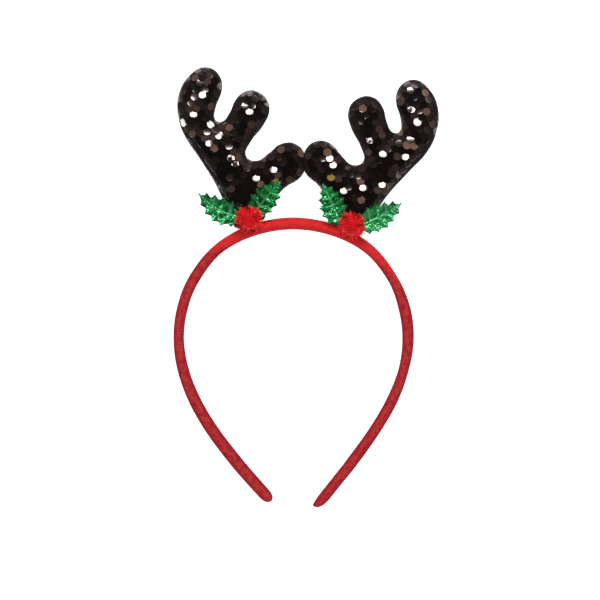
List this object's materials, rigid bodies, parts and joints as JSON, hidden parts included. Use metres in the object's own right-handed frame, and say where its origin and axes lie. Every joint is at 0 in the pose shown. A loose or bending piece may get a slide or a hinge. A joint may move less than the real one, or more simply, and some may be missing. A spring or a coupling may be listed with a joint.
{
  "type": "reindeer antler headband",
  "caption": "Satin-wrapped arch headband lying on its back, with padded sequinned antlers astride its top and holly leaves and a tinsel berry on each foot.",
  "frame": {"origin": "on the surface that the headband lies on, under the middle of its bounding box", "axes": "+Y from the band's open end towards the antlers' tips; +Z out of the front, the side that faces the viewer; +X towards the longer leg, the viewer's right"},
  "size_m": [0.1404, 0.2324, 0.0234],
  "materials": {
    "red_satin": "satin ribbon wrap",
    "black_sequins": "glossy sequins on black satin",
    "green_foil": "embossed metallic foil",
    "red_tinsel": "tinsel"
  },
  "bodies": {
    "root": {"band": "red_satin", "antler_left": "black_sequins", "antler_right": "black_sequins", "leaf_left_outer": "green_foil", "leaf_left_inner": "green_foil", "leaf_right_inner": "green_foil", "leaf_right_outer": "green_foil", "berry_left": "red_tinsel", "berry_right": "red_tinsel"}
  },
  "joints": []
}
